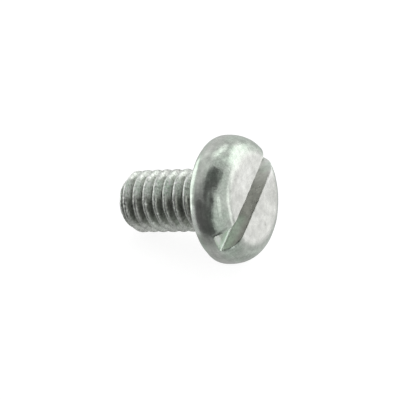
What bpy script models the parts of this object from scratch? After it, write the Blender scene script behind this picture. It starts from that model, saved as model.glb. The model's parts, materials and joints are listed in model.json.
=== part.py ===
"""Slotted pan head machine screw, M2.5 x 0.45 and 4 mm long, threaded up to its head.

The screw is one solid. It is modelled upright on its own axis, with the bearing face under the
head at z = 0, the head above it and the thread below. Then it is laid down as it comes to rest,
on the rim of its head and the last crest at its tip. Lengths are in metres and +Z is up.
The +X side of the upright screw is the side that comes to lie on the floor.
"""

import math

import bmesh
import bpy
import numpy as np
from mathutils import Matrix, Vector

MM = 0.001

# Head
HEAD_DIAMETER = 4.9 * MM
HEAD_HEIGHT = 1.5 * MM
RIM_HEIGHT = 0.37 * MM  # from the bearing face up to the head's widest line
RIM_INSET = 0.23 * MM  # how far the rounding under the widest line cuts in
SHOULDER_INSET = 0.79 * MM  # how far the long rounding above the widest line cuts in
CROWN_RISE = 0.013 * MM  # bulge of the nearly flat top

# Slot
SLOT_WIDTH = 0.75 * MM
SLOT_DEPTH = 0.71 * MM
SLOT_OFFSET = -0.145 * MM  # the saw ran beside the centre
SLOT_ANGLE = 18.0  # degrees about the axis, from the side that lies down to across the slot

# Thread, with the 60 degree form of the metric standard
THREAD_DIAMETER = 2.42 * MM
PITCH = 0.45 * MM
THREAD_LENGTH = 4.0 * MM  # from the bearing face to the tip
CREST_FLAT = PITCH / 8
SHARP_DEPTH = PITCH * math.sqrt(3) / 2  # depth that the V would have with no flats
THREAD_DEPTH = SHARP_DEPTH * 17 / 24
ROOT_ROUNDING = SHARP_DEPTH / 6
FLANK_TURN = 60.0  # degrees that the root's arc turns from its middle to a flank
CREST_ANGLE = 283.4  # degrees about the axis where a crest crosses the plane of the tip

# Ends of the thread
NECK_LENGTH = 0.2 * MM  # plain shank under the head
RUN_OUT_LENGTH = 0.45 * MM  # where the thread fades into the neck
NECK_FILLET = 0.2 * MM  # it leaves a bearing face that a ring can reach past the thread
CHAMFER_LENGTH = 0.35 * MM
CHAMFER_PAST_ROOT = 0.015 * MM  # the tip's flat end is this much smaller in radius than the root

# Facets
SEGMENTS = 48
CROWN_STEPS = 2
SHOULDER_STEPS = 9
RIM_STEPS = 5
FILLET_STEPS = 4
ROOT_STEPS = 2

# Modelling overlaps
BITE = 0.02 * MM  # how deep the fillet starts inside the neck
ROD_OVERLAP = 0.1 * MM  # how far the thread's rod reaches into the head
RAW_TURNS = 2  # turns of the rod past the tip, which are cut off
CUT_MARGIN = 0.3 * MM  # how far a cutting shape stands clear of what it cuts
WELD = 0.0001 * MM

# Sizes that follow
HEAD_RADIUS = HEAD_DIAMETER / 2
CREST_RADIUS = THREAD_DIAMETER / 2
ROOT_RADIUS = CREST_RADIUS - THREAD_DEPTH
NECK_RADIUS = CREST_RADIUS - SHARP_DEPTH * 3 / 8  # a rolled thread starts from its pitch diameter
TIP_RADIUS = ROOT_RADIUS - CHAMFER_PAST_ROOT
ROD_TOP = ROD_OVERLAP + PITCH / 2

MOST_TILT = math.radians(60)
TILT_HALVINGS = 40

ZINC_COLOUR = (0.72, 0.75, 0.73, 1.0)
ZINC_ROUGHNESS = 0.36


def clear_scene():
    """Removes every object that the startup file holds."""
    for obj in list(bpy.data.objects):
        bpy.data.objects.remove(obj)


def ellipse_arc(centre, radii, start, end, steps):
    """Points (radius, height) on an ellipse about centre, from start to end in degrees."""
    angles = np.radians(np.linspace(start, end, steps + 1))
    return [(centre[0] + radii[0] * math.cos(a), centre[1] + radii[1] * math.sin(a)) for a in angles]


def head_profile():
    """Outline (radius, height) of the head, from the middle of the crown to inside the neck."""
    flat_radius = HEAD_RADIUS - SHOULDER_INSET
    shares = np.linspace(0, 1, CROWN_STEPS + 1)
    crown = [(flat_radius * s, HEAD_HEIGHT - CROWN_RISE * s**2) for s in shares]
    shoulder_size = (SHOULDER_INSET, HEAD_HEIGHT - CROWN_RISE - RIM_HEIGHT)
    shoulder = ellipse_arc((flat_radius, RIM_HEIGHT), shoulder_size, 90, 0, SHOULDER_STEPS)
    rim_centre = (HEAD_RADIUS - RIM_INSET, RIM_HEIGHT)
    rim = ellipse_arc(rim_centre, (RIM_INSET, RIM_HEIGHT), 0, -90, RIM_STEPS)
    fillet_centre = (NECK_RADIUS - BITE + NECK_FILLET, -NECK_FILLET)
    fillet = ellipse_arc(fillet_centre, (NECK_FILLET, NECK_FILLET), 90, 180, FILLET_STEPS)
    return crown + shoulder[1:] + rim[1:] + fillet + [(0, -NECK_FILLET)]


def envelope_profile():
    """Outline (radius, height) of the space that the thread may fill: it cuts the tip's chamfer."""
    outer_radius = CREST_RADIUS + CUT_MARGIN
    slope = CHAMFER_LENGTH / (CREST_RADIUS - TIP_RADIUS)
    cone_top = -THREAD_LENGTH + slope * (outer_radius - TIP_RADIUS)
    top = HEAD_HEIGHT
    tip = [(0, -THREAD_LENGTH), (TIP_RADIUS, -THREAD_LENGTH)]
    return tip + [(outer_radius, cone_top), (outer_radius, top), (0, top)]


def thread_section():
    """One pitch of the thread as (height above the crest's middle, radius), going up."""
    crest = [(-CREST_FLAT / 2, CREST_RADIUS), (CREST_FLAT / 2, CREST_RADIUS)]
    root_angles = np.radians(np.linspace(-FLANK_TURN, FLANK_TURN, ROOT_STEPS + 1))
    arc_centre = ROOT_RADIUS + ROOT_ROUNDING
    root = [
        (PITCH / 2 + ROOT_ROUNDING * math.sin(a), arc_centre - ROOT_ROUNDING * math.cos(a))
        for a in root_angles
    ]
    return crest + root


def run_out(radius, height):
    """The radius of the thread at a height, faded into the plain neck under the head."""
    share = np.clip((-height - NECK_LENGTH) / RUN_OUT_LENGTH, 0, 1)
    smooth = share**2 * (3 - 2 * share)
    return NECK_RADIUS + (radius - NECK_RADIUS) * smooth


def mesh_from(bm, name):
    """A smooth-shaded mesh from a closed bmesh, with its faces pointing outwards."""
    bmesh.ops.recalc_face_normals(bm, faces=bm.faces)
    mesh = bpy.data.meshes.new(name)
    bm.to_mesh(mesh)
    bm.free()
    mesh.shade_smooth()
    mesh.set_sharp_from_angle(angle=math.radians(30))
    return mesh


def turned_mesh(name, profile):
    """The outline spun about the axis. A flat facet, and not a corner, faces +X."""
    bm = bmesh.new()
    start = Matrix.Rotation(math.pi / SEGMENTS, 3, "Z")
    points = [bm.verts.new(start @ Vector((radius, 0, height))) for radius, height in profile]
    edges = [bm.edges.new(pair) for pair in zip(points, points[1:])]
    bmesh.ops.spin(
        bm, geom=points + edges, cent=(0, 0, 0), axis=(0, 0, 1), angle=2 * math.pi, steps=SEGMENTS
    )
    bmesh.ops.remove_doubles(bm, verts=bm.verts, dist=WELD)
    return mesh_from(bm, name)


def rod_points(bm):
    """The rod's points, one list for each column: the thread's section carried up its helix."""
    section = thread_section()
    bottom = -THREAD_LENGTH - RAW_TURNS * PITCH
    turns = (ROD_TOP - bottom) / PITCH + CREST_ANGLE / 360
    grid = []
    for column in range(math.ceil(turns * SEGMENTS)):
        turned = (column + 0.5) / SEGMENTS
        crest = bottom + PITCH * (turned - CREST_ANGLE / 360)
        around = Matrix.Rotation(2 * math.pi * turned, 3, "Z")
        heights = [crest + rise for rise, _ in section]
        radii = [run_out(radius, height) for height, (_, radius) in zip(heights, section)]
        grid.append([bm.verts.new(around @ Vector((r, 0, z))) for r, z in zip(radii, heights)])
    return grid


def close_ends(bm):
    """Closes the rod's two open ends, each with a fan from a point on the axis."""
    rims = [edge for edge in bm.edges if edge.is_boundary]
    heights = {edge: (edge.verts[0].co.z + edge.verts[1].co.z) / 2 for edge in rims}
    split = (min(heights.values()) + max(heights.values())) / 2
    for end in ([e for e in rims if heights[e] < split], [e for e in rims if heights[e] >= split]):
        centre = bm.verts.new((0, 0, sum(heights[edge] for edge in end) / len(end)))
        for edge in end:
            bm.faces.new((*edge.verts, centre))


def rod_mesh(name):
    """A threaded rod that is longer than the screw's shank at both ends."""
    bm = bmesh.new()
    grid = rod_points(bm)
    for k, (left, right) in enumerate(zip(grid, grid[1:])):
        if k + 1 + SEGMENTS < len(grid):
            # The section ends where that of the same column begins, one turn higher.
            left = left + grid[k + SEGMENTS][:1]
            right = right + grid[k + 1 + SEGMENTS][:1]
        for low in range(len(left) - 1):
            bm.faces.new((left[low], right[low], right[low + 1], left[low + 1]))
    close_ends(bm)
    return mesh_from(bm, name)


def slot_mesh(name):
    """A block as wide as the slot, which reaches past the head at both ends and above it."""
    bottom = HEAD_HEIGHT - SLOT_DEPTH
    top = HEAD_HEIGHT + CUT_MARGIN
    size = (SLOT_WIDTH, HEAD_DIAMETER + 2 * CUT_MARGIN, top - bottom)
    middle = Matrix.Translation((SLOT_OFFSET, 0, (top + bottom) / 2))
    turn = Matrix.Rotation(math.radians(SLOT_ANGLE), 4, "Z")
    bm = bmesh.new()
    bmesh.ops.create_cube(bm, size=1, matrix=turn @ middle @ Matrix.Diagonal((*size, 1)))
    return mesh_from(bm, name)


def add_object(name, mesh, holder):
    """An object in the scene that is held by the empty which lays the screw down."""
    obj = bpy.data.objects.new(name, mesh)
    obj.parent = holder
    bpy.context.scene.collection.objects.link(obj)
    return obj


def add_guide(name, mesh, holder):
    """An object that only shapes the screw, shown as a wire and left out of renders."""
    obj = add_object(name, mesh, holder)
    obj.hide_render = True
    obj.display_type = "WIRE"
    return obj


def add_boolean(obj, operation, other):
    """Joins, cuts or trims obj with another object."""
    modifier = obj.modifiers.new(other.name, "BOOLEAN")
    modifier.operation = operation
    modifier.solver = "EXACT"
    modifier.object = other


def add_weld(obj):
    """Merges the corners that two cuts leave on the same spot."""
    modifier = obj.modifiers.new("weld", "WELD")
    modifier.merge_threshold = WELD


def zinc_plating():
    """Bright zinc plating on steel, dulled by handling."""
    material = bpy.data.materials.new("zinc_plating")
    material.use_nodes = True
    shader = material.node_tree.nodes["Principled BSDF"]
    shader.inputs["Base Color"].default_value = ZINC_COLOUR
    shader.inputs["Metallic"].default_value = 1.0
    shader.inputs["Roughness"].default_value = ZINC_ROUGHNESS
    return material


def make_screw(holder):
    """The whole screw, upright: head, trimmed thread and slot."""
    rod = add_guide("thread_rod", rod_mesh("thread_rod"), holder)
    envelope = turned_mesh("thread_envelope", envelope_profile())
    add_boolean(rod, "INTERSECT", add_guide("thread_envelope", envelope, holder))

    screw = add_object("machine_screw", turned_mesh("machine_screw", head_profile()), holder)
    screw.data.materials.append(zinc_plating())
    add_boolean(screw, "UNION", rod)
    add_boolean(screw, "DIFFERENCE", add_guide("slot_block", slot_mesh("slot_block"), holder))
    add_weld(screw)
    return screw


def finished_points(obj):
    """The points of an object after its modifiers, as rows of x, y and z."""
    bpy.context.view_layer.update()
    finished = obj.evaluated_get(bpy.context.evaluated_depsgraph_get())
    points = np.array([vertex.co for vertex in finished.to_mesh().vertices])
    finished.to_mesh_clear()
    return points


def lying(tilt):
    """The turn that lays the upright screw down on its +X side with its head tilted up."""
    return Matrix.Rotation(math.pi / 2 - tilt, 3, "Y")


def lowest(points, tilt):
    """Height of the lowest of these points when the screw lies at a tilt."""
    return (points @ np.array(lying(tilt))[2]).min()


def rest_tilt(points):
    """The tilt at which the head's rim and the thread are equally low, found by halving."""
    head = points[points[:, 2] > 0]
    thread = points[points[:, 2] < 0]
    low, high = 0.0, MOST_TILT
    for _ in range(TILT_HALVINGS):
        middle = (low + high) / 2
        if lowest(head, middle) < lowest(thread, middle):
            low = middle
        else:
            high = middle
    return (low + high) / 2


def lay_down(holder, points):
    """Turns the screw to its rest, on the floor at z = 0 and centred over the origin."""
    turn = lying(rest_tilt(points))
    placed = points @ np.array(turn).T
    low, high = placed.min(axis=0), placed.max(axis=0)
    holder.rotation_euler = turn.to_euler()
    holder.location = (-(low[0] + high[0]) / 2, -(low[1] + high[1]) / 2, -low[2])


def main():
    """Models the screw and lays it on the floor."""
    clear_scene()
    holder = bpy.data.objects.new("rest_pose", None)
    bpy.context.scene.collection.objects.link(holder)
    screw = make_screw(holder)
    lay_down(holder, finished_points(screw))
    bpy.context.view_layer.update()


main()
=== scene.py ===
"""A zinc-plated slotted pan head machine screw, lying on a pale studio floor.

The screw is worked out upright in millimetres, on its own axis: the bearing face under the head is at
height 0, the head is above it and the thread below. It is then laid down in the place of the CAD
node. Arrays of points have x, y and z in their last axis.
"""

import json
import logging
import math
from dataclasses import dataclass, field
from enum import Enum

import bmesh
import bpy
import numpy as np
from mathutils import Matrix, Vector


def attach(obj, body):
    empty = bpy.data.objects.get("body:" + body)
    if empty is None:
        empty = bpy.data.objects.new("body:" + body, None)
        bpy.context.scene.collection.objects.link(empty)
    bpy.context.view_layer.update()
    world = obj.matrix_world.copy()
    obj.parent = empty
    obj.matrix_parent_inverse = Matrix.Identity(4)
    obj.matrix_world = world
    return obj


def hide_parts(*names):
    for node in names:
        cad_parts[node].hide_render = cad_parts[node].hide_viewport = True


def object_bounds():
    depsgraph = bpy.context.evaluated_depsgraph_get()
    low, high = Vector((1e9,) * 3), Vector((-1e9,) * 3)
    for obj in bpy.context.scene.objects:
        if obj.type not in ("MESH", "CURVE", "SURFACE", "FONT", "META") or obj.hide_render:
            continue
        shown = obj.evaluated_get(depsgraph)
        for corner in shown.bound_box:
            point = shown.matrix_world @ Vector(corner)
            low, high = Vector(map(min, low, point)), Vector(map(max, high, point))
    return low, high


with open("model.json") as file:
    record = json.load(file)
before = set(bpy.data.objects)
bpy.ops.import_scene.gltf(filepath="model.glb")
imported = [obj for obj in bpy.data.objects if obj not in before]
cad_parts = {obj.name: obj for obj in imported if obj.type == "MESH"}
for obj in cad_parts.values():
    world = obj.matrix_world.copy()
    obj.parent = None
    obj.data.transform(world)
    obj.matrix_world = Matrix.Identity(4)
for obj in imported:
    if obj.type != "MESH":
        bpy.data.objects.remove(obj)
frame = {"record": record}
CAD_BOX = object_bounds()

LOG = logging.getLogger("machine_screw")
MM = 0.001
NODE = "machine_screw"
BODY = "root"
MERGE = 1e-6  # millimetres
TINY = 1e-9  # keeps a division away from zero
INNER_RING = 0.02  # radius of the smallest ring round the crown's and the end's middle, in millimetres
SHARP_ANGLE = math.radians(32)

Place = tuple[float, float, float]
Range = tuple[float, float]
Grain = tuple[float, float]  # a noise's scale and detail
Colour = tuple[float, float, float, float]
Socket = bpy.types.NodeSocket
Feed = Socket | float | Colour


def ramp(values: np.ndarray, start: float, end: float) -> np.ndarray:
    """A straight line from 0 at the start to 1 at the end, held at both. The end may be the lower."""
    return np.clip((values - start) / (end - start), 0, 1)


def smooth(share: np.ndarray) -> np.ndarray:
    """A smooth step: the cubic from 0 to 1 that is level at both ends."""
    return share**2 * (3 - 2 * share)


@dataclass(frozen=True)
class Waves:
    """A smooth random field in space: the sum of some plane waves.

    Each is a cosine of position times a random wave vector, plus a random phase.
    """

    length: float
    seed: int
    height: float = 1.0
    count: int = 28
    spread: Range = (0.6, 1.7)

    def at(self, points: np.ndarray) -> np.ndarray:
        """The field at some points.

        Args:
            points: Places in millimetres.

        Returns:
            One value for each point, of about the field's height.
        """
        random = np.random.default_rng(self.seed)
        directions = random.normal(size=(self.count, 3))
        directions /= np.linalg.norm(directions, axis=1)[:, None]
        numbers = 2 * np.pi / self.length * random.uniform(*self.spread, self.count)
        phases = random.uniform(0, 2 * np.pi, self.count)
        waves = np.cos(points @ (directions * numbers[:, None]).T + phases)
        return self.height * waves.sum(axis=-1) / math.sqrt(self.count / 2)


def bell(points: np.ndarray, places: tuple[Place, ...], width: float, power: int) -> np.ndarray:
    """A bell curve of the distance from the line through some places.

    Args:
        points: Where it is worked out.
        places: The line's places in turn, or one place for a spot.
        width: The distance at which the curve has fallen to about a third.
        power: 2 for a round top, and more for a flatter one with a shorter edge.

    Returns:
        Shares from 0, far off, to 1 on the line.
    """
    gaps = []
    for start, end in zip(places, places[1:] or places):
        along = np.subtract(end, start)
        share = np.clip((points - start) @ along / max(along @ along, TINY), 0, 1)
        gaps.append(np.linalg.norm(points - start - share[..., None] * along, axis=-1))
    return np.exp(-((np.min(gaps, axis=0) / width) ** power))


@dataclass(frozen=True)
class Knock:
    """A dent or scratch along a line on the upright screw, or a burr where its depth is negative."""

    width: float
    depth: float
    places: tuple[Place, ...]

    def at(self, points: np.ndarray) -> np.ndarray:
        """Its depth at some points, with a round bottom."""
        return self.depth * bell(points, self.places, self.width, 2)


class Tone(Enum):
    """What a part of the plating shows, by the name of the attribute that carries it. Grime and shade
    holds grime and painted shade; bare and light holds worn metal and painted light.
    """

    CAST = "cast"
    GRIME_AND_SHADE = "grime_and_shade"
    BARE_AND_LIGHT = "bare_and_light"


@dataclass(frozen=True)
class Stain:
    """A tone along a line on the upright screw, with a solid middle and a soft edge."""

    tone: Tone
    width: float
    strength: float
    places: tuple[Place, ...]

    def at(self, points: np.ndarray) -> np.ndarray:
        """Its strength at some points, with a flat top."""
        return self.strength * bell(points, self.places, self.width, 4)


STAINS = (
    # painted shade: the dark hook beside the slot's lower end, along the lip's edge
    Stain(Tone.GRIME_AND_SHADE, 0.072, 0.95, ((0.22, -2.36, 0.84), (0.20, -2.31, 0.96), (0.12, -2.24, 1.09))),
    Stain(Tone.GRIME_AND_SHADE, 0.046, 0.60, ((0.12, -2.24, 1.09), (0.04, -2.15, 1.22), (0.02, -2.09, 1.28))),
    # the saw's burr on the other lip, with a painted shadow line along it and painted light flecks
    Stain(Tone.GRIME_AND_SHADE, 0.058, 0.85, ((0.95, -2.14, 0.89), (0.97, -2.07, 1.05))),
    Stain(Tone.GRIME_AND_SHADE, 0.046, 0.50, ((0.99, -1.99, 1.10), (0.93, -1.88, 1.27))),
    Stain(Tone.GRIME_AND_SHADE, 0.056, 0.80, ((0.87, -1.80, 1.35), (0.81, -1.64, 1.43))),
    Stain(Tone.BARE_AND_LIGHT, 0.048, 0.90, ((0.94, -2.00, 1.18), (0.93, -1.93, 1.25))),
    Stain(Tone.BARE_AND_LIGHT, 0.042, 0.80, ((0.90, -1.84, 1.34),)),
    # the slot's ends: a green cast, painted light on their walls and floor, and a dark line
    Stain(Tone.CAST, 0.300, 1.00, ((0.48, -0.75, 0.98), (0.95, -2.10, 0.94))),
    Stain(Tone.BARE_AND_LIGHT, 0.260, 0.85, ((0.52, -0.85, 1.02), (0.68, -1.35, 1.02))),
    Stain(Tone.BARE_AND_LIGHT, 0.260, 0.45, ((0.68, -1.35, 1.02), (0.95, -2.10, 0.92))),
    Stain(Tone.BARE_AND_LIGHT, 0.190, 1.00, ((0.30, -2.16, 0.79), (0.80, -2.04, 0.79))),
    Stain(Tone.CAST, 0.230, 0.80, ((-0.40, 1.92, 1.30), (-0.33, 1.75, 1.15))),
    Stain(Tone.BARE_AND_LIGHT, 0.220, 0.95, ((-0.40, 1.92, 1.30), (-0.36, 1.80, 1.06))),
    Stain(Tone.BARE_AND_LIGHT, 0.300, 0.95, ((-0.40, 1.92, 1.33), (-0.32, 1.68, 1.30))),
    Stain(Tone.BARE_AND_LIGHT, 0.360, 0.55, ((-0.32, 1.68, 1.30), (-0.18, 1.28, 1.25))),
    Stain(Tone.BARE_AND_LIGHT, 0.250, 0.95, ((-0.45, 2.10, 1.20), (-0.38, 1.88, 0.98))),
    Stain(Tone.GRIME_AND_SHADE, 0.060, 0.70, ((-0.32, 1.76, 1.05), (-0.31, 1.66, 0.95))),
    # lighter and darker places on the rim, the crown and the side
    Stain(Tone.BARE_AND_LIGHT, 0.160, 1.00, ((-0.90, -2.25, 0.20), (-0.50, -2.37, 0.22), (-0.04, -2.40, 0.22))),
    Stain(Tone.BARE_AND_LIGHT, 0.350, 0.28, ((-1.01, -0.39, 1.49), (-1.11, 0.03, 1.49))),
    Stain(Tone.GRIME_AND_SHADE, 0.450, 0.18, ((0.25, 1.41, 1.48), (0.64, 1.34, 1.49))),
    Stain(Tone.GRIME_AND_SHADE, 0.400, 0.11, ((-0.45, -1.25, 1.48),)),
    Stain(Tone.GRIME_AND_SHADE, 0.300, 0.24, ((0.35, -2.39, 0.35),)),
    Stain(Tone.GRIME_AND_SHADE, 0.320, 0.16, ((-1.78, -1.67, 0.49),)),
    # specks on the shoulder and the crown
    Stain(Tone.GRIME_AND_SHADE, 0.045, 0.55, ((-2.33, -0.20, 0.95),)),
    Stain(Tone.GRIME_AND_SHADE, 0.040, 0.40, ((1.21, 0.15, 1.49),)),
    Stain(Tone.GRIME_AND_SHADE, 0.040, 0.30, ((-1.11, -1.37, 1.46),)),
)

BURRS = (
    # the torn lip and the burrs at the slot's lower end
    Knock(0.040, 0.014, ((0.94, -2.14, 0.89), (0.95, -2.07, 1.07))),
    Knock(0.035, -0.012, ((0.94, -2.00, 1.17), (0.93, -1.94, 1.24))),
    Knock(0.030, 0.012, ((0.91, -1.90, 1.29), (0.90, -1.88, 1.31))),
    Knock(0.030, -0.012, ((0.90, -1.84, 1.34), (0.89, -1.83, 1.35))),
    Knock(0.035, 0.014, ((0.86, -1.79, 1.36), (0.80, -1.62, 1.44))),
    Knock(0.040, 0.010, ((0.20, -2.36, 0.85), (0.10, -2.26, 1.09))),
    # the flattened stretch of the rim
    Knock(0.400, 0.030, ((0.20, -2.42, 0.22), (1.00, -2.20, 0.22))),
    # a dent at the slot's upper end
    Knock(0.060, 0.012, ((-0.32, 1.74, 1.40), (-0.36, 1.86, 1.38))),
)


@dataclass
class Head:
    """The pan head: a nearly flat crown, a long shoulder, a tight rim and the bearing face."""

    radius: float = 2.4447
    height: float = 1.5
    rim_height: float = 0.37
    rim_inset: float = 0.23
    shoulder_inset: float = 0.92
    shoulder_power: float = 2.2
    crown_rise: float = 0.013
    fillet: float = 0.2
    fillet_inset: float = 0.18
    crown_rows: int = 22
    shoulder_rows: int = 34
    rim_rows: int = 14
    bearing_rows: int = 8
    fillet_rows: int = 6

    @property
    def flat_radius(self) -> float:
        """Radius where the crown turns into the shoulder."""
        return self.radius - self.shoulder_inset

    @property
    def shoulder_rise(self) -> float:
        """How far the shoulder climbs from the widest line to the crown."""
        return self.height - self.crown_rise - self.rim_height

    def surface(self, radius: np.ndarray) -> np.ndarray:
        """Height of the head's upper side: a shallow parabola, then a quarter of a superellipse.

        Args:
            radius: Distances from the axis.

        Returns:
            The height above the bearing face at each distance.
        """
        crown = self.height - self.crown_rise * (radius / self.flat_radius) ** 2
        out = np.clip((radius - self.flat_radius) / self.shoulder_inset, 0, 1)
        power = self.shoulder_power
        shoulder = self.rim_height + self.shoulder_rise * (1 - out**power) ** (1 / power)
        return np.where(radius < self.flat_radius, crown, shoulder)

    def outline(self, neck_radius: float, neck_length: float) -> np.ndarray:
        """The turned outline from the crown's middle to the end of the neck.

        Below the shoulder come a quarter of an ellipse, the flat bearing face and the fillet's arc.

        Args:
            neck_radius: Radius of the plain neck.
            neck_length: Length of the neck under the bearing face.

        Returns:
            Rows of radius and height.
        """
        crown = np.linspace(INNER_RING, self.flat_radius, self.crown_rows)
        turn = np.radians(np.linspace(90, 0, self.shoulder_rows + 1))[1:]
        out = np.clip(np.cos(turn), 0, 1) ** (2 / self.shoulder_power)
        up = np.clip(np.sin(turn), 0, 1) ** (2 / self.shoulder_power)
        under = np.radians(np.linspace(0, -90, self.rim_rows + 1))[1:]
        inner = neck_radius + self.fillet_inset
        bearing = np.linspace(self.radius - self.rim_inset, inner, self.bearing_rows + 1)[1:]
        last = math.degrees(math.acos(-self.fillet_inset / self.fillet))
        bend = np.radians(np.linspace(90, last, self.fillet_rows + 1))[1:]
        parts = (
            (crown, self.surface(crown)),
            (self.flat_radius + self.shoulder_inset * out, self.rim_height + self.shoulder_rise * up),
            (self.radius - self.rim_inset * (1 - np.cos(under)), self.rim_height * (1 + np.sin(under))),
            (bearing, np.zeros_like(bearing)),
            (inner + self.fillet * np.cos(bend), self.fillet * (np.sin(bend) - 1)),
            ([neck_radius], [-neck_length]),
        )
        return np.concatenate([np.stack(part, axis=1) for part in parts])


@dataclass
class Thread:
    """The rolled thread: a right-hand helix with the 60 degree metric section.

    The half flat, the bevel and the row range are in pitches. The range runs past both ends.
    """

    crest_radius: float = 1.21
    pitch: float = 0.45
    length: float = 4.0
    crest_angle: float = 283.4
    neck_length: float = 0.2
    run_out: float = 0.45
    chamfer: float = 0.35
    past_root: float = 0.015
    half_flat: float = 1 / 16
    crest_bevel: float = 1 / 64
    bevel_slope: float = 1 / 4
    rounding: float = 0.96
    fullness: float = 1.5
    row_range: Range = (-9.26, 0.26)
    tip_rows: int = 22

    @property
    def sharp_depth(self) -> float:
        """Depth of the V that the section would have with no flats."""
        return self.pitch * math.sqrt(3) / 2

    @property
    def root_radius(self) -> float:
        """Radius at the bottom of the thread, 17/24 of the V's depth below the crest."""
        return self.crest_radius - self.sharp_depth * 17 / 24

    @property
    def neck_radius(self) -> float:
        """Radius of the plain neck, which is the rolled thread's pitch radius."""
        return self.crest_radius - self.sharp_depth * 3 / 8

    @property
    def tip_radius(self) -> float:
        """Radius of the flat end."""
        return self.root_radius - self.past_root

    def section_rows(self) -> np.ndarray:
        """Places across one pitch, as shares of it, with two rows at each corner of the crest.

        Returns:
            The places, from one crest's middle to just before the next.
        """
        corner = [self.half_flat - self.crest_bevel, self.half_flat + self.crest_bevel]
        half = [0, *corner, *np.arange(1 / 8, 1 / 2, 1 / 16)]
        return np.array(half + [1 / 2] + [1 - share for share in half[:0:-1]])

    def section(self, share: np.ndarray) -> np.ndarray:
        """Radius across a pitch: the metric section, rounded by rolling, plating and tumbling.

        The sharp section has a flat crest, straight flanks at 60 degrees and a round root, whose arc
        starts 3/8 of a pitch off and has a sixth of the V's depth as its radius. It is mixed with a
        cosine of the same depth, whose share of the depth is raised to a power above 1 for full
        crests and narrow roots.

        Args:
            share: Place as a share of the pitch, with the crest's middle at whole numbers.

        Returns:
            The radius at each place.
        """
        off = np.abs((share + 0.5) % 1 - 0.5)
        arc = self.sharp_depth / 6
        sine = np.clip((0.5 - off) * self.pitch / arc, -1, 1)
        root = self.root_radius + arc - arc * np.sqrt(1 - sine**2)
        flank = self.crest_radius - (off - self.half_flat) * self.pitch * math.sqrt(3)
        bevelled = self.crest_radius - self.bevel_slope * self.crest_bevel * self.pitch
        crest = np.where(off > self.half_flat / 2, bevelled, self.crest_radius)
        sharp = np.where(off < self.half_flat, crest, np.where(off > 3 / 8, root, flank))
        wave = ((1 - np.cos(2 * np.pi * off)) / 2) ** self.fullness
        rounded = self.crest_radius - (self.crest_radius - self.root_radius) * wave
        return sharp + (rounded - sharp) * self.rounding

    def grid(self, columns: int) -> tuple[np.ndarray, np.ndarray, int]:
        """The threaded shank as a grid whose rows climb with the helix.

        Height is the row's place plus the turned share of a pitch. Rows past either end are held at
        that end. The radius is the section's, faded into the neck and cut by the chamfer's cone.

        Args:
            columns: Number of columns round the axis.

        Returns:
            Radii, heights and the number of rows in a pitch.
        """
        section = self.section_rows()
        first, last = self.row_range
        rows = np.concatenate([section + k for k in range(math.floor(first), math.ceil(last))])
        rows = rows[(rows >= first) & (rows <= last)]
        turned = np.arange(columns) / columns - self.crest_angle / 360
        heights = -self.length + self.pitch * (turned[None, :] - rows[:, None])
        heights = np.clip(heights, -self.length, -self.neck_length)
        fade = smooth(ramp(-heights, self.neck_length, self.neck_length + self.run_out))
        radii = self.neck_radius + (self.section(rows)[:, None] - self.neck_radius) * fade
        slope = (self.crest_radius - self.tip_radius) / self.chamfer
        cone = self.tip_radius + slope * (heights + self.length)
        return np.minimum(radii, cone), heights, len(section)

    def depth_share(self, radius: np.ndarray) -> np.ndarray:
        """How deep in the thread a radius lies, from 0 at the crest to 1 at the root."""
        return ramp(radius, self.crest_radius, self.root_radius)

    def past_crest(self, points: np.ndarray) -> np.ndarray:
        """How far points lie from the crest's middle towards the head, in pitches from -0.5 to 0.5."""
        turned = np.arctan2(points[:, 1], points[:, 0]) / (2 * np.pi) - self.crest_angle / 360
        return ((points[:, 2] + self.length) / self.pitch - turned + 0.5) % 1 - 0.5


@dataclass(frozen=True)
class Nicks:
    """Small dents scattered along the thread's crest, closer together near the tip."""

    thread: Thread
    count: int = 170
    seed: int = 23
    spread: Range = (0.03, 0.95)
    crowding: float = 1.7
    most_inset: float = 0.05
    off_crest: float = 0.16
    reach: float = 0.035
    widths: Range = (0.020, 0.050)
    depths: Range = (0.008, 0.030)
    stain_width: float = 1.2
    stain_strength: float = 0.75
    grimy_every: int = 3

    def knocks(self) -> tuple[Knock, ...]:
        """The dents, each along a short random line.

        Returns:
            A knock for each.
        """
        thread = self.thread
        random = np.random.default_rng(self.seed)
        turns = thread.length / thread.pitch * random.uniform(*self.spread, self.count) ** self.crowding
        angles = np.radians(thread.crest_angle + 360 * turns)
        radii = thread.crest_radius - random.uniform(0.0, self.most_inset, self.count)
        asides = random.uniform(-self.off_crest, self.off_crest, self.count)
        heights = thread.pitch * (turns + asides) - thread.length
        starts = np.stack([radii * np.cos(angles), radii * np.sin(angles), heights], axis=1)
        ends = starts + random.normal(scale=self.reach, size=(self.count, 3))
        widths = random.uniform(*self.widths, self.count)
        depths = random.uniform(*self.depths, self.count)
        rows = zip(widths, depths, starts, ends)
        return tuple(Knock(width, depth, (tuple(a), tuple(b))) for width, depth, a, b in rows)

    def stains(self) -> tuple[Stain, ...]:
        """A tone for each dent: every third one is grimy, and the others show the metal under the
        plating.

        Returns:
            The stains, a little wider than the dents.
        """
        tones = [Tone.BARE_AND_LIGHT if i % self.grimy_every else Tone.GRIME_AND_SHADE for i in range(self.count)]
        return tuple(
            Stain(tone, self.stain_width * knock.width, self.stain_strength, knock.places)
            for tone, knock in zip(tones, self.knocks())
        )


class Side(Enum):
    """The two walls of the slot, by the side of its middle that each stands on."""

    UPPER = -1.0
    LOWER = 1.0


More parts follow.
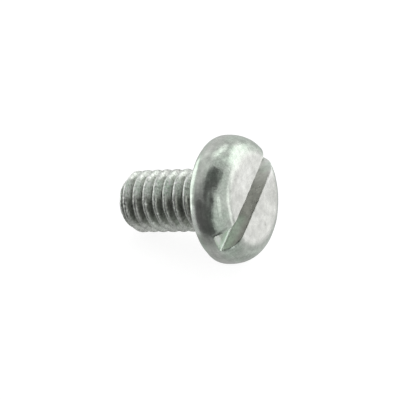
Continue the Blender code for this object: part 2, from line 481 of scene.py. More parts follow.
@dataclass
class DriveSlot:
    """The sawn slot: two walls, a flat floor and lips that the saw and the plating left uneven."""

    head: Head
    width: float = 0.75
    depth: float = 0.71
    offset: float = -0.145
    angle: float = 18.0
    lip: float = 0.04
    lip_turn: float = 50.0
    lip_uneven: float = 0.45
    lip_range: Range = (0.3, 2.2)
    lip_wave: float = 0.35
    lip_seed: int = 41
    slope_step: float = 0.01
    least_wall: float = 0.01
    row_gap: float = 0.002
    overrun: float = 0.03
    corner: float = 0.085
    corner_turns: tuple[float, ...] = (90.0, 60.0, 30.0)
    saw_marks: Waves = Waves(0.09, 7, 0.0022)
    reach: float = 2.8
    top: float = 1.9
    stations: int = 141
    wall_rows: int = 10
    lip_rows: int = 4
    floor_rows: int = 12

    @property
    def floor(self) -> float:
        """Height of the slot's floor."""
        return self.head.height - self.depth

    @property
    def across(self) -> np.ndarray:
        """Direction across the slot, towards its lower wall."""
        turn = math.radians(self.angle)
        return np.array([math.cos(turn), math.sin(turn), 0.0])

    @property
    def along(self) -> np.ndarray:
        """Direction along the slot."""
        turn = math.radians(self.angle)
        return np.array([-math.sin(turn), math.cos(turn), 0.0])

    def wall_place(self, side: Side) -> float:
        """How far a wall stands from the axis, measured across the slot."""
        return self.offset + side.value * self.width / 2

    def lip_arc(self, stations: np.ndarray, side: Side) -> tuple[np.ndarray, np.ndarray]:
        """The lip: an arc of uneven radius, whose top follows the head's surface.

        Args:
            stations: Places along the slot, as one column.
            side: Which wall.

        Returns:
            Distances from the wall's plane and heights, as stations by rows.
        """
        place = self.wall_place(side)
        radius = np.minimum(np.hypot(stations, place), self.head.radius)
        surface = np.maximum(self.head.surface(radius), self.floor + self.least_wall)
        inner = self.head.surface(radius - self.slope_step)
        lean = 1 / np.hypot(1, (inner - self.head.surface(radius)) / self.slope_step)
        waves = Waves(self.lip_wave, self.lip_seed + int(side.value), self.lip_uneven)
        uneven = waves.at(stations * self.along + place * self.across)[:, None]
        lip = self.lip * np.clip(1 + uneven, *self.lip_range)
        turn = np.radians(np.linspace(0, self.lip_turn, self.lip_rows + 1))[None, :]
        heights = surface - lip * (math.sin(math.radians(self.lip_turn)) - np.sin(turn)) / lean
        lowest = self.floor + self.corner + self.row_gap * (1 + turn)
        return lip * (1 - np.cos(turn)), np.maximum(heights, lowest)

    def half_section(self, side: Side) -> tuple[np.ndarray, np.ndarray]:
        """One half of the slot, from the middle of the floor to above the head.

        The rows cross the floor, go round the corner's arc, climb the straight wall and the lip, and
        leave the head on the lip's last slope.

        Args:
            side: Which wall.

        Returns:
            Places across the slot and heights, as stations by rows.
        """
        stations = np.linspace(-self.reach, self.reach, self.stations)[:, None]
        level = np.zeros_like(stations)
        run = np.linspace(0, 1, self.floor_rows // 2 + 1)[None, :-1]
        floor_places = self.offset + side.value * (self.width / 2 - self.corner) * run + level
        floor_heights = self.floor + self.saw_marks.at(floor_places[..., None] * self.across)
        turn = np.radians(self.corner_turns)[None, :]
        arc_out, arc_heights = self.lip_arc(stations, side)
        foot = self.floor + self.corner
        rise = np.linspace(0, 1, self.wall_rows + 1)[None, :-1]
        wall_heights = foot + (arc_heights[:, :1] - foot) * rise
        over_out = arc_out[:, -1:] + self.overrun * math.tan(math.radians(self.lip_turn))
        parts = (
            (-self.corner * (1 - np.cos(turn)) + level, foot - self.corner * np.sin(turn) + level),
            (np.zeros_like(wall_heights), wall_heights),
            (arc_out, arc_heights),
            (over_out, arc_heights[:, -1:] + self.overrun),
            (over_out, np.full_like(stations, self.top)),
        )
        outs, heights = (np.concatenate(values, axis=1) for values in zip(*parts))
        places = self.wall_place(side) + side.value * outs
        return (
            np.concatenate([floor_places, places], axis=1),
            np.concatenate([floor_heights, heights], axis=1),
        )

    def cutter_grid(self) -> np.ndarray:
        """The space that the saw took out, as a grid of stations by rows.

        Returns:
            Points. The rows run down the upper wall, over the floor and up the lower wall.
        """
        stations = np.linspace(-self.reach, self.reach, self.stations)[:, None, None]
        upper = [values[:, :0:-1] for values in self.half_section(Side.UPPER)]
        places, heights = (
            np.concatenate(halves, axis=1) for halves in zip(upper, self.half_section(Side.LOWER))
        )
        points = stations * self.along + places[..., None] * self.across
        points[..., 2] = heights
        return points


@dataclass(frozen=True)
class RestPose:
    """Where the screw lies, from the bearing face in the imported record."""

    axis: Place
    origin: Place

    @classmethod
    def from_record(cls, record: dict) -> "RestPose":
        """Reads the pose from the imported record.

        Args:
            record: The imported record.

        Returns:
            The pose, with the axis towards the head and the origin on the bearing face.
        """
        mount = next(m for m in record["mounts"] if m["name"] == "bearing_face")
        axis = tuple(-component for component in mount["axis"])
        place = mount["pos_m"]
        return cls(axis=axis, origin=(place[0] / MM, 0.0, place[2] / MM))

    def place(self, points: np.ndarray) -> np.ndarray:
        """Lays points of the upright screw in the world, with its own +X side to the floor.

        Args:
            points: Rows of x, y and z in millimetres.

        Returns:
            Their world coordinates in millimetres.
        """
        axis, side = np.array(self.axis), np.array([0.0, 1.0, 0.0])
        turn = np.stack([np.cross(side, axis), side, axis])
        return points @ turn + np.array(self.origin)


def wrapped_quads(rows: int, columns: int, first: int = 0, shift: int = 0) -> np.ndarray:
    """Faces of a grid that closes on itself round the axis.

    Args:
        rows: Rows in the grid.
        columns: Columns in the grid.
        first: Index of the grid's first point.
        shift: How many rows the last column lies below its neighbour in the first column.

    Returns:
        Rows of four point indices.
    """
    row, column = np.meshgrid(np.arange(rows - 1), np.arange(columns), indexing="ij")
    drop = np.where(column == columns - 1, shift, 0)
    here = first + row * columns + column
    there = first + (row - drop) * columns + (column + 1) % columns
    quads = np.stack([here, here + columns, there + columns, there], axis=-1)
    return quads[(row - drop) >= 0]


def mesh_of(name: str, points: np.ndarray, faces: list[list[int]]) -> bpy.types.Mesh:
    """A clean mesh, with doubles merged and faces pointing outwards.

    Args:
        name: The mesh's name.
        points: Rows of x, y and z in millimetres.
        faces: Lists of point indices.

    Returns:
        The mesh in metres.
    """
    mesh = bpy.data.meshes.new(name)
    mesh.from_pydata(points * MM, [], faces)
    bm = bmesh.new()
    bm.from_mesh(mesh)
    bmesh.ops.remove_doubles(bm, verts=bm.verts, dist=MERGE * MM)
    bmesh.ops.recalc_face_normals(bm, faces=bm.faces)
    bm.to_mesh(mesh)
    bm.free()
    return mesh


def write_values(mesh: bpy.types.Mesh, name: str, values: np.ndarray) -> None:
    """Stores a number or a vector for each point of a mesh.

    Args:
        mesh: The mesh.
        name: The attribute's name.
        values: One number or one row of three for each point.
    """
    kind, key = ("FLOAT", "value") if values.ndim == 1 else ("FLOAT_VECTOR", "vector")
    attribute = mesh.attributes.new(name, kind, "POINT")
    attribute.data.foreach_set(key, values.astype(np.float32).ravel())


def placed(name: str, data: bpy.types.ID) -> bpy.types.Object:
    """A new object at the origin, in the scene.

    Args:
        name: The object's name.
        data: Its mesh or camera.

    Returns:
        The object.
    """
    new = bpy.data.objects.new(name, data)
    bpy.context.scene.collection.objects.link(new)
    return new


@dataclass(frozen=True)
class NodeDesk:
    """Short ways of adding nodes to one material."""

    tree: bpy.types.NodeTree

    def feed(self, node: bpy.types.Node, name: str | int, value: Feed) -> None:
        """Links one of a node's inputs, or sets it where the value is a plain one.

        Args:
            node: The node.
            name: The input's name or number.
            value: Another node's output, a number or a colour.
        """
        if isinstance(value, Socket):
            self.tree.links.new(value, node.inputs[name])
        else:
            node.inputs[name].default_value = value

    def add(self, kind: str, output: str, inputs: dict, **settings: str | bool) -> Socket:
        """Adds a node.

        Args:
            kind: Its type, without the leading ShaderNode.
            output: Which of its outputs is wanted.
            inputs: What feeds its inputs, by name or number.
            settings: Its own settings, which are made first.

        Returns:
            The output.
        """
        node = self.tree.nodes.new("ShaderNode" + kind)
        for name, value in settings.items():
            setattr(node, name, value)
        for name, value in inputs.items():
            self.feed(node, name, value)
        return node.outputs[output]

    def attribute(self, name: str, output: str = "Fac") -> Socket:
        """One of the mesh's attributes, as a number unless the vector output is asked for."""
        return self.add("Attribute", output, {}, attribute_name=name)

    def noise(self, vector: Socket, grain: Grain) -> Socket:
        """A noise texture, read at a vector."""
        return self.add("TexNoise", "Fac", {"Vector": vector, "Scale": grain[0], "Detail": grain[1]})

    def ramp(self, source: Socket, start: Range, end: Range) -> Socket:
        """Maps one range onto another, held at both ends."""
        ends = dict(zip(("From Min", "From Max", "To Min", "To Max"), start + end))
        return self.add("MapRange", "Result", {"Value": source, **ends})

    def math(self, operation: str, first: Socket, second: Socket) -> Socket:
        """A sum or product of two values, held between 0 and 1."""
        return self.add("Math", "Value", {0: first, 1: second}, operation=operation, use_clamp=True)

    def mix(self, first: Feed, second: Feed, share: Feed, blend: str = "MIX") -> Socket:
        """Mixes a share of the second colour into the first."""
        inputs = {"Factor": share, "A": first, "B": second}
        return self.add("Mix", "Result", inputs, data_type="RGBA", blend_type=blend)

    def bump(self, height: Socket, strength: Feed, distance: float, below: Socket | None) -> Socket:
        """A bump normal of some depth in metres, on top of another one where that is given."""
        inputs = {"Height": height, "Strength": strength, "Distance": distance}
        return self.add("Bump", "Normal", inputs if below is None else inputs | {"Normal": below})


@dataclass(frozen=True)
class ZincFinish:
    """Bright zinc plating with a faint green cast, dulled by tumbling and handling.

    The cast is a tint that the colour is multiplied by, and so are the shades.
    """

    base: Colour = (0.690, 0.697, 0.664, 1.0)
    cast: Colour = (0.916, 1.04, 0.952, 1.0)
    # dark for grime and painted shade, light for worn metal and painted light
    grime_and_shade: Colour = (0.20, 0.205, 0.19, 1.0)
    bare_and_light: Colour = (0.95, 0.955, 0.93, 1.0)
    cloud_grain: Grain = (1500.0, 3.0)
    mottle_grain: Grain = (6500.0, 4.0)
    pit_grain: Grain = (16000.0, 3.0)
    fleck_grain: Grain = (3200.0, 6.0)
    streak_grain: Grain = (9.0, 3.0)
    brush_grain: Grain = (20.0, 2.0)
    dust_grain: Grain = (10500.0, 2.0)
    steep: Range = (0.35, 0.65)
    gentle: Range = (0.3, 0.7)
    rough_spread: Range = (0.35, 0.7)
    cast_shares: Range = (0.45, 1.1)
    grime_and_shade_shares: Range = (0.6, 1.3)
    roughness: Range = (0.12, 0.24)
    fleck: Range = (0.84, 1.13)
    streak: Range = (0.95, 1.05)
    dust: Range = (0.66, 1.30)
    relief: float = 0.5
    mottle_depth: float = 7e-6
    streak_depth: float = 2.2e-6
    brush_depth: float = 3e-6
    pit_depth: float = 7e-6

    def material(self) -> bpy.types.Material:
        """The plating as a node material.

        Returns:
            The material.
        """
        material = bpy.data.materials.new("zinc_plating")
        material.use_nodes = True
        desk = NodeDesk(material.node_tree)
        shader = desk.tree.nodes["Principled BSDF"]
        shader.inputs["Metallic"].default_value = 1.0

        place = desk.add("TexCoord", "Object", {})
        turned = desk.attribute("turned", "Vector")
        pitted = desk.attribute("pitted")
        brushed = desk.attribute("brushed")
        cloud = desk.noise(place, self.cloud_grain)
        mottle = desk.noise(place, self.mottle_grain)
        pits = desk.noise(place, self.pit_grain)
        fleck = desk.noise(place, self.fleck_grain)
        dust = desk.noise(place, self.dust_grain)
        streak = desk.noise(turned, self.streak_grain)
        brush = desk.noise(turned, self.brush_grain)

        cast = desk.ramp(cloud, self.steep, self.cast_shares)
        cast = desk.math("MULTIPLY", desk.attribute(Tone.CAST.value), cast)
        # darkened by grime and painted shade, then lightened by worn metal and painted light
        grime_and_shade = desk.ramp(mottle, self.steep, self.grime_and_shade_shares)
        grime_and_shade = desk.math("MULTIPLY", desk.attribute(Tone.GRIME_AND_SHADE.value), grime_and_shade)
        colour = desk.mix(self.base, self.grime_and_shade, grime_and_shade)
        colour = desk.mix(colour, self.bare_and_light, desk.attribute(Tone.BARE_AND_LIGHT.value))
        colour = desk.mix(colour, self.cast, cast, "MULTIPLY")
        shades = (
            (fleck, self.fleck, 1.0),
            (streak, self.streak, 1.0),
            (dust, self.dust, pitted),
            (brush, self.dust, brushed),
        )
        for noise, shade, share in shades:
            colour = desk.mix(colour, desk.ramp(noise, self.gentle, shade), share, "MULTIPLY")
        desk.feed(shader, "Base Color", colour)

        rough = desk.ramp(mottle, self.rough_spread, self.roughness)
        rough = desk.math("ADD", desk.attribute("dull"), rough)
        desk.feed(shader, "Roughness", rough)

        normal = desk.bump(mottle, self.relief, self.mottle_depth, None)
        normal = desk.bump(streak, self.relief, self.streak_depth, normal)
        normal = desk.bump(brush, brushed, self.brush_depth, normal)
        normal = desk.bump(pits, pitted, self.pit_depth, normal)
        desk.feed(shader, "Normal", normal)
        return material


@dataclass(frozen=True)
class Facing:
    """A side of the screw, with a soft edge: a ramp of the cosine of the angle from its middle."""

    middle: Place
    edge: Range

    def share(self, upright: np.ndarray) -> np.ndarray:
        """How far points lie on this side, from 0 to 1."""
        radius = np.hypot(upright[:, 0], upright[:, 1])
        return ramp(upright @ self.middle / np.maximum(radius, TINY), *self.edge)


# how strongly each zone carries a tone, of which the strongest zone counts
TONES = {
    Tone.CAST: {"shoulder": 1.0, "rim": 1.0, "shank": 0.4, "satin_lit": 0.75},
    # painted shade on the -Y flanks and in the upper roots; deep and sawn darken the grooves and the
    # slot's walls
    Tone.GRIME_AND_SHADE: {"deep": 0.45, "shaded_flank": 0.81, "root": 0.82, "sawn": 0.08},
    # painted light on the upper crests and flanks and above the roots; crest and tip show worn metal
    Tone.BARE_AND_LIGHT: {"crest": 0.12, "rubbed crest": 0.8, "lit above root": 0.6, "tip": 0.5, "satin_lit": 0.95},
}
# how much each zone adds to a texture, which also counts two of the tones
TEXTURES = {
    "dull": {"sawn": 0.14, "shank": 0.10, "satin_lit": 0.36, Tone.BARE_AND_LIGHT.value: 0.10, Tone.GRIME_AND_SHADE.value: 0.1},
    "pitted": {"everywhere": 0.15, "shank": 0.70, "sawn": 0.1, "shoulder": 0.20},
    "brushed": {"shoulder": 0.22, "shank": 0.2},
}


@dataclass(frozen=True)
class Weathering:
    """What plating, the saw, tumbling and handling show, zone by zone, with painted shade and painted
    light on the thread.

    A zone is a share from 0 to 1 at each point. Its ramps below are in shares of the thread's depth,
    in pitches past the crest, and in millimetres.
    """

    head: Head
    thread: Thread
    stains: tuple[Stain, ...]
    # painted shade on the thread's flanks on the side towards -Y, past the crest
    shaded_flank: Facing = Facing((-0.208, -0.978, 0.0), (0.80, 0.94))
    # painted highlight on the crests of the side that faces up
    lit_top: Facing = Facing((-1.0, 0.0, 0.0), (0.70, 0.95))
    # painted light on the flanks of the upper side towards -Y, which are rougher too
    satin_lit: Facing = Facing((-0.839, -0.545, 0.0), (0.92, 0.97))
    deep: Range = (0.412, 1.0)
    root: Range = (0.78, 0.93)
    crest: Range = (0.333, 0.0)
    satin_lit_depth: Range = (0.9, 0.7)
    satin_lit_past: Range = (0.02, 0.06)
    shaded_flank_past: Range = (0.04, 0.16)
    shaded_flank_fade: float = 0.457
    tip: Range = (0.45, 0.15)
    shoulder: Range = (1.62, 2.02)
    shoulder_height: Range = (0.3, 0.9)
    rim: Range = (2.1, 2.3)
    rim_height: Range = (0.38, 0.26)
    rim_least: float = 0.4
    saw_reach: float = 0.004
    saw_margin: float = 0.02
    end_margin: float = 0.01
    stretch: float = 0.15
    stretch_radius: float = 0.8
    shank_slide: float = 0.3

    def zones(self, upright: np.ndarray) -> dict[str, np.ndarray]:
        """The zones' shares.

        Args:
            upright: Points on the upright screw, in millimetres.

        Returns:
            A share for each point, by the zone's name.
        """
        thread, slot = self.thread, DriveSlot(self.head)
        radius, height = np.hypot(upright[:, 0], upright[:, 1]), upright[:, 2]
        depth, past = thread.depth_share(radius), thread.past_crest(upright)
        off = np.abs(upright @ slot.across - slot.offset) - slot.width / 2
        sawn = (off < self.saw_reach) & (height > slot.floor - self.saw_margin)
        sawn = sawn & (self.head.surface(radius) - height > self.saw_margin)
        shank = (height < -thread.neck_length) & (height > -thread.length + self.end_margin)
        # painted shade: the flanks on the side towards -Y are darkened, less so deep in the thread
        shaded_flank = self.shaded_flank.share(upright) * ramp(past, *self.shaded_flank_past) * shank
        facing = self.satin_lit.share(upright) * shank
        # painted shade in the thread's roots on the upper side towards -Y
        root = ramp(depth, *self.root) * facing
        crest = ramp(depth, *self.crest) * shank
        low_rim = self.rim_least + (1 - self.rim_least) * ramp(height, *self.rim_height)
        return {
            "everywhere": np.ones_like(radius),
            "sawn": sawn,
            "shank": shank,
            "deep": ramp(depth, *self.deep) * shank,
            "shaded_flank": shaded_flank * (1 - self.shaded_flank_fade * depth),
            # painted light, a green cast and more roughness on the upper flanks past the crest
            "satin_lit": facing * ramp(past, *self.satin_lit_past) * ramp(depth, *self.satin_lit_depth),
            "root": root,
            # painted light on the upper flanks above the roots
            "lit above root": facing - root,
            "crest": crest,
            # painted highlight on the upper crests
            "rubbed crest": crest * self.lit_top.share(upright),
            "tip": ramp(height + thread.length, *self.tip),
            "shoulder": ramp(radius, *self.shoulder) * ramp(height, *self.shoulder_height) * ~sawn,
            "rim": ramp(radius, *self.rim) * low_rim,
        }

    def values(self, upright: np.ndarray) -> dict[str, np.ndarray]:
        """What the finish reads.

        A tone is the strongest of its zones and stains. A texture adds up its zones and tones.

        Args:
            upright: Points on the upright screw, in millimetres.

        Returns:
            A number for each point, by the attribute's name.
        """
        shares = self.zones(upright)
        for tone, strengths in TONES.items():
            parts = [strength * shares[zone] for zone, strength in strengths.items()]
            shares[tone.value] = np.max(parts, axis=0)
        for stain in self.stains:
            shares[stain.tone.value] = np.maximum(shares[stain.tone.value], stain.at(upright))
        values = {tone.value: shares[tone.value] for tone in TONES}
        for texture, strengths in TEXTURES.items():
            values[texture] = sum(strength * shares[zone] for zone, strength in strengths.items())
        return values

    def turned(self, upright: np.ndarray) -> np.ndarray:
        """The place that stretches the finish's streaks round the axis, as dies and rolls leave them.

        It changes slowly with the angle and fast across the outline.

        Args:
            upright: Points on the upright screw, in millimetres.

        Returns:
            A vector for each point.
        """
        neck = self.thread.neck_length
        radius, height = np.hypot(upright[:, 0], upright[:, 1]), upright[:, 2]
        circle = self.stretch * upright[:, :2] / np.maximum(radius, self.stretch_radius)[:, None]
        circle[:, 0] += self.shank_slide * np.minimum(height + neck, 0)
        return np.column_stack([circle, radius - np.maximum(height, -neck)])


@dataclass(frozen=True)
class Tumbling:
    """The wear of the surface: slow unevenness, roughness towards the tip, and knocks.

    The flat end is smoother than the thread round it.
    """

    thread: Thread
    knocks: tuple[Knock, ...]
    mean: float = 0.0022
    swells: tuple[Waves, ...] = (Waves(1.1, 3, 0.0022), Waves(0.4, 5, 0.0009), Waves(0.2, 17, 0.0004))
    rough: Waves = Waves(0.28, 11)
    most_rough: float = 3.0
    shank_rough: float = 0.0025
    tip_rough: float = 0.009
    shank_reach: float = 0.5
    tip_reach: float = 1.0
    end_reach: float = 0.15
    end_smooth: float = 0.8

    def depth(self, points: np.ndarray) -> np.ndarray:
        """How far each point is worn in.

        Args:
            points: Places on the perfect surface.

        Returns:
            Depths in millimetres.
        """
        thread = self.thread
        down, radius = -points[..., 2], np.hypot(points[..., 0], points[..., 1])
        shank = ramp(down, thread.neck_length, thread.neck_length + self.shank_reach)
        tip = ramp(down, thread.length - self.tip_reach, thread.length)
        inner = ramp(radius, thread.tip_radius, thread.tip_radius - self.end_reach)
        roughness = (self.shank_rough * shank + self.tip_rough * tip) * (1 - self.end_smooth * inner)
        depth = self.mean + roughness * np.clip(self.rough.at(points), 0, self.most_rough)
        for part in self.swells + self.knocks:
            depth = depth + part.at(points)
        return depth


@dataclass
class MachineScrew:
    """The whole screw: the turned and threaded skin, with the slot cut into its head."""

    pose: RestPose
    head: Head = field(default_factory=Head)
    thread: Thread = field(default_factory=Thread)
    finish: ZincFinish = ZincFinish()
    columns: int = 300

    def skin(self) -> tuple[np.ndarray, list[list[int]]]:
        """The screw's surface before the slot is cut.

        Three grids follow each other: the head's turned outline, the threaded shank and the rings
        of the flat end. A point in the middle closes the crown, and one closes the end. Wear moves
        each point inwards, and the end's outer ring moves as the shank's last row does.

        Returns:
            Points in millimetres and faces.
        """
        thread = self.thread
        outline = self.head.outline(thread.neck_radius, thread.neck_length)
        steps = np.gradient(outline, axis=0)
        lean = np.stack([-steps[:, 1], steps[:, 0]], axis=1)
        lean /= np.linalg.norm(lean, axis=1)[:, None]
        shank_radii, shank_heights, pitch_rows = thread.grid(self.columns)
        ring = np.linspace(thread.tip_radius, INNER_RING, thread.tip_rows)

        ones = np.ones((1, self.columns))
        radii = np.concatenate([outline[:, :1] * ones, shank_radii, ring[:, None] * ones])
        end = np.full((len(ring), self.columns), -thread.length)
        heights = np.concatenate([outline[:, 1:] * ones, shank_heights, end])
        shank_lean = np.tile([1.0, 0.0], (len(shank_radii), 1))
        ring_lean = np.tile([0.0, -1.0], (len(ring), 1))
        ring_lean[0] = shank_lean[-1]
        leans = np.concatenate([lean, shank_lean, ring_lean])

        angles = 2 * np.pi * np.arange(self.columns) / self.columns
        round_x, round_y = np.cos(angles), np.sin(angles)
        points = np.stack([radii * round_x, radii * round_y, heights], axis=-1)
        across, upwards = leans[:, :1], leans[:, 1:]
        outwards = np.stack([across * round_x, across * round_y, upwards * ones], axis=-1)
        tumbling = Tumbling(thread, BURRS + Nicks(thread).knocks())
        points = (points - tumbling.depth(points)[..., None] * outwards).reshape(-1, 3)
        middles = np.array([[0, 0, self.head.height], [0, 0, -thread.length]])
        middles[:, 2] -= np.sign(middles[:, 2]) * tumbling.depth(middles)

        faces, first = [], 0
        for rows, shift in ((len(outline), 0), (len(shank_radii), pitch_rows), (len(ring), 0)):
            faces += wrapped_quads(rows, self.columns, first, shift).tolist()
            first += rows * self.columns
        edge = np.arange(self.columns)
        after = (edge + 1) % self.columns
        last = len(points) - self.columns
        crown, tip = np.full_like(edge, len(points)), np.full_like(edge, len(points) + 1)
        faces += np.stack([edge, after, crown], axis=1).tolist()
        faces += np.stack([last + after, last + edge, tip], axis=1).tolist()
        return np.concatenate([points, middles]), faces

    def cut(self, skin: bpy.types.Object) -> bpy.types.Mesh:
        """Cuts the slot out of the skin.

        Args:
            skin: The closed surface.

        Returns:
            The finished mesh.
        """
        grid = DriveSlot(self.head).cutter_grid()
        stations, rows = grid.shape[:2]
        last = (stations - 1) * rows
        caps = [list(range(rows)), list(range(last, last + rows))]
        faces = wrapped_quads(stations, rows).tolist() + caps
        cutter = placed("saw_space", mesh_of("saw_space", grid.reshape(-1, 3), faces))
        modifier = skin.modifiers.new("slot", "BOOLEAN")
        modifier.operation = "DIFFERENCE"
        modifier.solver = "EXACT"
        modifier.object = cutter
        bpy.context.view_layer.update()
        finished = skin.evaluated_get(bpy.context.evaluated_depsgraph_get())
        mesh = bpy.data.meshes.new_from_object(finished)
        skin.modifiers.clear()
        bpy.data.objects.remove(cutter)
        return mesh

    def build(self) -> bpy.types.Object:
        """Builds the screw where it lies.

        Returns:
            The finished piece.
        """
        skin = placed("zinc_screw", mesh_of("zinc_screw_skin", *self.skin()))
        mesh = self.cut(skin)
        skin.data = mesh
        coords = np.empty(len(mesh.vertices) * 3)
        mesh.vertices.foreach_get("co", coords)
        upright = coords.reshape(-1, 3) / MM
        weathering = Weathering(self.head, self.thread, STAINS + Nicks(self.thread).stains())
        for name, values in weathering.values(upright).items():
            write_values(mesh, name, values)
        write_values(mesh, "turned", weathering.turned(upright))
        world = self.inside_box(self.pose.place(upright))
        mesh.vertices.foreach_set("co", (world * MM).ravel())
        mesh.update()
        mesh.shade_smooth()
        mesh.set_sharp_from_angle(angle=SHARP_ANGLE)
        mesh.materials.clear()
        mesh.materials.append(self.finish.material())
        return skin

    def inside_box(self, world: np.ndarray) -> np.ndarray:
        """Keeps the screw in the CAD box: each axis is shrunk and moved by the least that fits.

        Args:
            world: Points in the world, in millimetres.

        Returns:
            The points, moved by a few thousandths at most.
        """
        low, high = np.array(CAD_BOX[0]) / MM, np.array(CAD_BOX[1]) / MM
        own_low, own_high = world.min(axis=0), world.max(axis=0)
        scale = np.minimum(1, (high - low) / (own_high - own_low))
        middle = (own_low + own_high) / 2
        world = middle + (world - middle) * scale
        shift = np.maximum(low - world.min(axis=0), 0) + np.minimum(high - world.max(axis=0), 0)
        return world + shift


def sight(azimuth: float, elevation: float) -> np.ndarray:
    """How a camera is turned that looks at the screw from some azimuth and elevation.

    Args:
        azimuth: Degrees, with 0 towards -Y and 90 towards +X.
        elevation: Degrees above the floor.

    Returns:
        Its right, up and back, as rows.
    """
    a, e = np.radians([azimuth, elevation])
    right = [np.cos(a), np.sin(a), 0.0]
    back = [np.sin(a) * np.cos(e), -np.cos(a) * np.cos(e), np.sin(e)]
    return np.array([right, np.cross(back, right), back])


@dataclass(frozen=True)
class Patch:
    """A part of the light tent that is brighter or darker than the rest, with angles in degrees."""

    name: str
    azimuth: float
    elevation: float
    half_width: float
    half_height: float
    radiance: float
    fade: float = 8.0
    turn: float = 0.0
    corners: float = 3.0

    def share(self, directions: np.ndarray) -> np.ndarray:
        """How far each direction lies in the patch.

        The angle from the patch's middle is laid out flat, across and upwards, and turned. The patch
        is a superellipse there, and its edge is a smooth step.

        Args:
            directions: Unit vectors.

        Returns:
            Shares from 0, outside, to 1.
        """
        right, up, middle = sight(self.azimuth, self.elevation)
        angle = np.degrees(np.arccos(np.clip(directions @ middle, -1, 1)))
        flat = np.stack([directions @ right, directions @ up], axis=-1)
        flat *= (angle / np.maximum(np.linalg.norm(flat, axis=-1), TINY))[..., None]
        cosine, sine = math.cos(math.radians(self.turn)), math.sin(math.radians(self.turn))
        across = np.abs(flat[..., 0] * cosine + flat[..., 1] * sine) / self.half_width
        rise = np.abs(flat[..., 1] * cosine - flat[..., 0] * sine) / self.half_height
        out = (across**self.corners + rise**self.corners) ** (1 / self.corners)
        inside = (1 - out) * min(self.half_width, self.half_height)
        return smooth(ramp(inside, -self.fade / 2, self.fade / 2))


PATCHES = (
    Patch("ground", 0, -90, 70, 70, 0.45, fade=50, corners=2),
    Patch("ground_glow", 140, -42, 28, 12, 0.58, fade=14),
    Patch("back_ground", -172, -28, 24, 20, 0.57, fade=18),
    Patch("paper_glare", 146, -12, 21, 15, 1.03, fade=16),
    Patch("side_window", 104, 7, 7, 17, 1.2, fade=7),
    Patch("high_window", 143, 63, 6, 6, 0.86, fade=7),
    Patch("left_sky", -118, 36, 9, 8, 0.80, fade=14),
    Patch("window", 145, 22, 25, 27, 1.36, fade=14, turn=-20, corners=4),
    Patch("window_corner", 159, -2, 8, 9, 0.80, fade=9),
    Patch("back_window", -152, 53, 15, 8, 1.38, fade=7, turn=42),
    Patch("left_window", -93, 0, 22, 26, 1.5, fade=9),
    Patch("right_lamp", 52, 24, 5, 16, 1.15, fade=6),
    Patch("front_shade", -14, 10, 30, 62, 0.25, fade=30, corners=2.4),
    Patch("roof_shade", 13, 69, 28, 20, 0.12, fade=9, corners=2.5),
    Patch("soft_shade", 80, 66, 10, 10, 0.22, fade=12),
    Patch("dark_streak", -17, 40, 8, 17, 0.11, fade=4, turn=20),
    Patch("dark_mark", 12, 34, 8, 8, 0.10, fade=4),
    Patch("left_shade", -46, 8, 9, 18, 0.26, fade=10),
    Patch("dark_door", -10, -7, 27.5, 30, 0.115, fade=2, turn=7, corners=8),
)


@dataclass(frozen=True)
class Tent:
    """A light tent round the screw, with soft windows and dark openings."""

    patches: tuple[Patch, ...] = PATCHES
    radius: float = 400.0
    around: float = 0.64
    step: int = 2

    def half(self, name: str, low: float, high: float, cloth: bpy.types.Material) -> bpy.types.Object:
        """One half of the tent, which glows by the attribute that its patches paint.

        Args:
            name: The object's name.
            low: Its lowest elevation in degrees.
            high: Its highest.
            cloth: What it is made of.

        Returns:
            The object, which the camera doesn't see.
        """
        rises = np.radians(np.arange(low, high + self.step, self.step))[:, None]
        turns = np.radians(np.arange(0, 360, self.step))[None, :]
        level = np.cos(rises)
        directions = np.stack(
            [np.sin(turns) * level, -np.cos(turns) * level, np.sin(rises) + 0 * turns], axis=-1
        )
        glow = np.full(directions.shape[:2], self.around)
        for patch in self.patches:
            glow = glow + (patch.radiance - glow) * patch.share(directions)
        mesh = bpy.data.meshes.new(name)
        points = directions.reshape(-1, 3) * self.radius * MM
        mesh.from_pydata(points, [], wrapped_quads(*glow.shape).tolist())
        write_values(mesh, "glow", glow.ravel())
        mesh.materials.append(cloth)
        half = placed(name, mesh)
        half.visible_camera = False
        return half

    def cloth(self) -> bpy.types.Material:
        """The tent's glowing cloth.

        Returns:
            A material that shines as strongly as the mesh's attribute says.
        """
        material = bpy.data.materials.new("tent_cloth")
        material.use_nodes = True
        desk = NodeDesk(material.node_tree)
        desk.tree.nodes.clear()
        out = desk.tree.nodes.new("ShaderNodeOutputMaterial")
        light = desk.add("Emission", "Emission", {"Strength": desk.attribute("glow")})
        desk.feed(out, "Surface", light)
        return material

    def build(self) -> None:
        """Hangs the upper half over the floor, and lays a lower one that only gloss picks up."""
        cloth = self.cloth()
        self.half("tent_upper", 0, 90, cloth)
        lower = self.half("tent_lower", -90, 0, cloth)
        lower.visible_diffuse = False
        lower.visible_shadow = False
        lower.visible_transmission = False
        LOG.info("tent with %s", ", ".join(patch.name for patch in self.patches))


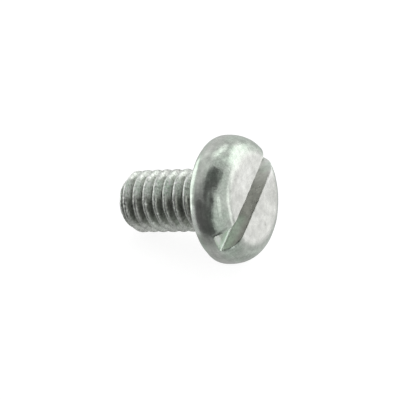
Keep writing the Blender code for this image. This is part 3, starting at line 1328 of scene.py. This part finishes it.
@dataclass
class Studio:
    """The floor, the tent, the air and the camera."""

    pose: RestPose
    azimuth: float = 26.24
    elevation: float = 34.46
    lens: float = 180.0
    sensor: float = 36.0
    clip: Range = (0.001, 20.0)
    distance: float = 75.55
    aside: float = -0.7934
    above: float = -0.0186
    floor_size: float = 3.0
    paper: Colour = (0.35, 0.35, 0.35, 1.0)
    paper_roughness: float = 0.9
    paper_glow: float = 0.87
    white: Colour = (1.0, 1.0, 1.0, 1.0)
    air: float = 1.0
    tent: Tent = Tent()

    def floor(self) -> None:
        """Lays a plain pale floor under the screw, lit from below too, as on a light table.

        Gloss looks through it, at the tent's lower half.
        """
        half = self.floor_size / 2
        corners = [(-half, -half, 0), (half, -half, 0), (half, half, 0), (-half, half, 0)]
        mesh = bpy.data.meshes.new("studio_floor")
        mesh.from_pydata(corners, [], [(0, 1, 2, 3)])
        floor = placed("studio_floor", mesh)
        floor.visible_glossy = False
        material = bpy.data.materials.new("studio_paper")
        material.use_nodes = True
        shader = material.node_tree.nodes["Principled BSDF"]
        shader.inputs["Base Color"].default_value = self.paper
        shader.inputs["Roughness"].default_value = self.paper_roughness
        shader.inputs["Specular IOR Level"].default_value = 0.0
        shader.inputs["Emission Color"].default_value = self.white
        shader.inputs["Emission Strength"].default_value = self.paper_glow
        mesh.materials.append(material)

    def world(self) -> None:
        """Sets a pale, even surrounding."""
        world = bpy.data.worlds.new("studio_air")
        bpy.context.scene.world = world
        world.use_nodes = True
        background = world.node_tree.nodes["Background"]
        background.inputs["Color"].default_value = self.white
        background.inputs["Strength"].default_value = self.air

    def camera(self) -> None:
        """Sets the camera at the photograph's viewing angle, a little beside the bearing face."""
        right, up, back = sight(self.azimuth, self.elevation)
        place = self.pose.origin + right * self.aside + up * self.above + back * self.distance
        data = bpy.data.cameras.new("studio_camera")
        data.lens = self.lens
        data.sensor_width = self.sensor
        data.clip_start, data.clip_end = self.clip
        camera = placed("studio_camera", data)
        turn = Matrix((right, up, back)).transposed().to_4x4()
        camera.matrix_world = Matrix.Translation(place * MM) @ turn
        bpy.context.scene.camera = camera

    def build(self) -> None:
        """Sets up everything around the screw."""
        self.floor()
        self.world()
        self.tent.build()
        self.camera()
        bpy.context.scene.view_settings.view_transform = "Standard"


def main() -> None:
    """Builds the screw and the studio, and reports each piece."""
    logging.basicConfig(level=logging.INFO)
    pose = RestPose.from_record(frame["record"])
    Studio(pose).build()
    screw = MachineScrew(pose).build()
    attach(screw, BODY)
    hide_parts(NODE)
    LOG.info("%s: %d faces", screw.name, len(screw.data.polygons))


if __name__ == "__main__":
    main()
